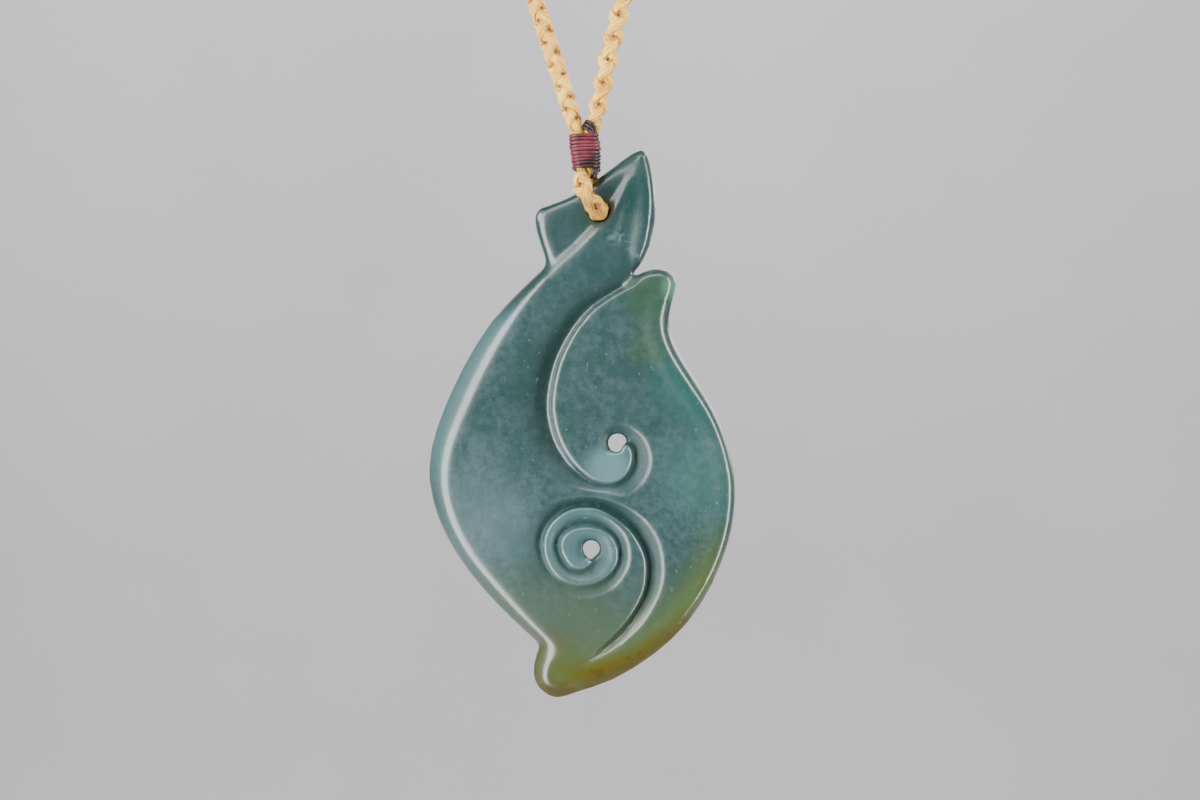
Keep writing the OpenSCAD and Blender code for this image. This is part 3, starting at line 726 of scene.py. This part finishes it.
def wound_lashing():
    """The path of the wound thread, whose turns lie a little unevenly, and of its two cut ends."""
    bottom, top = LASHING_ROWS[0][2] + WOUND_RADIUS, LASHING_ROWS[-1][2] - WOUND_RADIUS
    turns = round((top - bottom) / TURN_PITCH)
    path = []
    for i in range(turns * STEPS_A_TURN + 1):
        part = i / (turns * STEPS_A_TURN)
        angle = 2 * math.pi * i / STEPS_A_TURN
        x, y, _, half_width, half_depth = lashing_row(bottom + (top - bottom) * part)
        uneven = STRAY_HEIGHT * math.sin(2.3 * angle / math.pi) + STRAY_HEIGHT * math.sin(0.71 * angle + 1)
        height = bottom + (top - bottom) * part + uneven * math.sin(math.pi * part)
        proud = STRAY_OUT * math.sin(0.53 * angle)
        path.append(Vector((x + (half_width - WOUND_RADIUS + proud) * rounded(math.cos(angle)),
                            y + (half_depth - WOUND_RADIUS + proud) * rounded(math.sin(angle)), height)) * MM)
    return [path, *[[Vector(point) * MM for point in end] for end in CUT_ENDS]]


def thread_finish():
    """Maroon thread, with painted shade on its lowest turns, and dark cut ends and knot."""
    material, start, place = new_finish("waxed_thread")
    tone = cloud(place, 1.5 * MM, detail=4, roughness=0.6)
    across, _, up = [axis * (1 / MM) for axis in axes_of(place)]
    slant = up - across * 0.9 + tone * 2
    # Painted shade on the lowest turns towards the lower right, away from the lights; the cut ends there are
    # dark too
    shaded_low_turns = slant.rise(-226.3, -228.4) * up.rise(-233, -232)
    knot = up.rise(-224.75, -224.6) * up.rise(-200, -210)
    fibre = cloud(place, 0.1 * MM, detail=2)
    dye = layered(tone.rise(0.3, 0.7).between(colour(*DYE_DEEP), colour(*DYE_RED)), [
        (fibre.rise(0.5, 0.75) * 0.3, FIBRE_RED),
        ((shaded_low_turns + knot) * 0.9, DARK_KNOT_AND_SHADE),
    ])
    twist = start.node("ShaderNodeBump", {}, {"Strength": 0.4, "Distance": 0.05 * MM, "Height": fibre})
    surface(start, dye, {"Sheen Weight": 0.04, "Sheen Roughness": 0.4},
            Roughness=tone * 0.2 + 0.36, Normal=twist)
    return material


waxed_thread = thread_finish()
lashing_mesh = threads_mesh("wound_lashing", wound_lashing(), WOUND_RADIUS * MM)
finished(bpy.data.objects.new("wound_lashing", lashing_mesh), waxed_thread, ["lashing"])

# Drawn turns: three turns of the same thread come forward through the gap between the legs, cross it
# slantwise and go down into the lashing's top.
KNOT_THREAD = 0.24
KNOT_STEP = 0.1
KNOT_TURNS = [
    [(-0.35, -114.4, -224.2), (-0.4, -115.2, -224.1), (-0.3, -115.95, -224.1), (-0.05, -116.35, -224.2),
     (0.25, -116.5, -224.4), (0.5, -116.35, -224.7), (0.55, -116, -225.1)],
    [(-0.2, -114.4, -223.8), (-0.25, -115.2, -223.7), (-0.15, -115.95, -223.65), (0.15, -116.4, -223.8),
     (0.5, -116.55, -224.05), (0.8, -116.4, -224.4), (0.9, -116, -225)],
    [(0, -114.4, -223.6), (0, -115.2, -223.4), (0.1, -115.9, -223.3), (0.4, -116.25, -223.4),
     (0.75, -116.4, -223.65), (1.05, -116.25, -224.05), (1.15, -116, -224.8)],
]


def rounded_path(points):
    """More points along the smooth curve through a short path's points."""
    full = [Vector((*point, 1)) for point in points]
    return [point.xyz * MM for point in smooth_route(full, KNOT_STEP)]


knot_mesh = threads_mesh("drawn_turns", [rounded_path(turn) for turn in KNOT_TURNS], KNOT_THREAD * MM)
finished(bpy.data.objects.new("drawn_turns", knot_mesh), waxed_thread, ["lashing_knot"])


# Nape binding: the cord's two ends meet at the nape under a plain binding of the same thread, wound
# round both and drawn tight.
NAPE_MIDDLE = Vector((0, 1.75, 0))
NAPE_LENGTH = 12
NAPE_RADIUS = 1.7
NAPE_STEPS_A_TURN = 24


def wound_nape():
    """The path of the binding's thread, from one end to the other."""
    steps = (round(NAPE_LENGTH / TURN_PITCH) - 1) * NAPE_STEPS_A_TURN
    ring = NAPE_RADIUS - WOUND_RADIUS
    path = []
    for i in range(steps + 1):
        angle = 2 * math.pi * i / NAPE_STEPS_A_TURN
        along = (i / steps - 0.5) * (NAPE_LENGTH - 2 * WOUND_RADIUS)
        path.append((NAPE_MIDDLE + Vector((along, ring * math.cos(angle), ring * math.sin(angle)))) * MM)
    return path


nape_mesh = threads_mesh("wound_nape_binding", [wound_nape()], WOUND_RADIUS * MM)
finished(bpy.data.objects.new("wound_nape_binding", nape_mesh), waxed_thread, ["nape_binding"])


# Stage and light: a pale paper sweep under and behind the pendant, a long soft light at each side, a
# soft one above, one from behind and one on the paper.
FLOOR_HEIGHT = -1
SWEEP_FRONT = -4
WALL_DISTANCE = 2.4
WALL_HEIGHT = 3.5
SWEEP_HALF_WIDTH = 6
SWEEP_ROUNDING = 0.6
SWEEP_STEPS = 12
PAPER_SHADE, PAPER_LIGHT = (196, 195, 198), (204, 203, 206)


def paper_finish():
    """Pale matt paper, a little uneven."""
    material, start, place = new_finish("pale_paper")
    tone = cloud(place, 0.3).rise(0.2, 0.8).between(colour(*PAPER_SHADE), colour(*PAPER_LIGHT))
    surface(start, tone, {"Roughness": 0.9})
    return material


def sweep():
    """A floor that curves up into a wall."""
    shape = bmesh.new()
    foot = WALL_DISTANCE - SWEEP_ROUNDING
    rail = [shape.verts.new((-SWEEP_HALF_WIDTH, y, FLOOR_HEIGHT)) for y in (SWEEP_FRONT, foot)]
    for i in range(1, SWEEP_STEPS + 1):
        angle = math.radians(90 * i / SWEEP_STEPS)
        rail.append(shape.verts.new((-SWEEP_HALF_WIDTH, foot + SWEEP_ROUNDING * math.sin(angle),
                                     FLOOR_HEIGHT + SWEEP_ROUNDING * (1 - math.cos(angle)))))
    rail.append(shape.verts.new((-SWEEP_HALF_WIDTH, WALL_DISTANCE, WALL_HEIGHT)))
    edges = [shape.edges.new(pair) for pair in zip(rail, rail[1:])]
    drawn = bmesh.ops.extrude_edge_only(shape, edges=edges)["geom"]
    moved = [part for part in drawn if isinstance(part, bmesh.types.BMVert)]
    bmesh.ops.translate(shape, verts=moved, vec=(2 * SWEEP_HALF_WIDTH, 0, 0))
    bmesh.ops.recalc_face_normals(shape, faces=shape.faces)
    mesh = bpy.data.meshes.new("pale_sweep")
    shape.to_mesh(mesh)
    shape.free()
    for face in mesh.polygons:
        face.use_smooth = True
    return mesh


floor = bpy.data.objects.new("pale_sweep", sweep())
floor.data.materials.append(paper_finish())
bpy.context.scene.collection.objects.link(floor)


def soft_light(name, place, aim, width, height, watts):
    """An oblong, evenly lit lamp that the camera doesn't see."""
    lamp = bpy.data.lights.new(name, "AREA")
    lamp.shape = "RECTANGLE"
    lamp.size, lamp.size_y = width, height
    lamp.energy = watts
    holder = bpy.data.objects.new(name, lamp)
    holder.location = place
    holder.rotation_euler = (Vector(aim) - Vector(place)).to_track_quat("-Z", "Y").to_euler()
    holder.visible_camera = False
    bpy.context.scene.collection.objects.link(holder)


PENDANT = (0, -0.115, -0.262)
PAPER_BEHIND = (0, WALL_DISTANCE, -0.25)
# Columns: name, place, what it points at, width, height and watts
LIGHTS = [
    ("left_light", (-0.52, -0.5, -0.3), PENDANT, 0.46, 1.3, 21),
    ("right_light", (0.6, -0.32, -0.24), PENDANT, 0.2, 1, 11),
    ("top_light", (-0.05, -0.5, 0.35), PENDANT, 0.7, 0.35, 4),
    ("back_light", (0.5, 0.9, 0.3), PENDANT, 1, 1, 8),
    ("backdrop_light", (0, 1.1, 1), PAPER_BEHIND, 2.4, 0.4, 46),
]
for row in LIGHTS:
    soft_light(*row)
ROOM_COLOUR, ROOM_STRENGTH = (0.8, 0.84, 0.9, 1), 0.14

world = bpy.data.worlds.new("soft_room")
world.use_nodes = True
world.node_tree.nodes["Background"].inputs["Color"].default_value = ROOM_COLOUR
world.node_tree.nodes["Background"].inputs["Strength"].default_value = ROOM_STRENGTH
bpy.context.scene.world = world
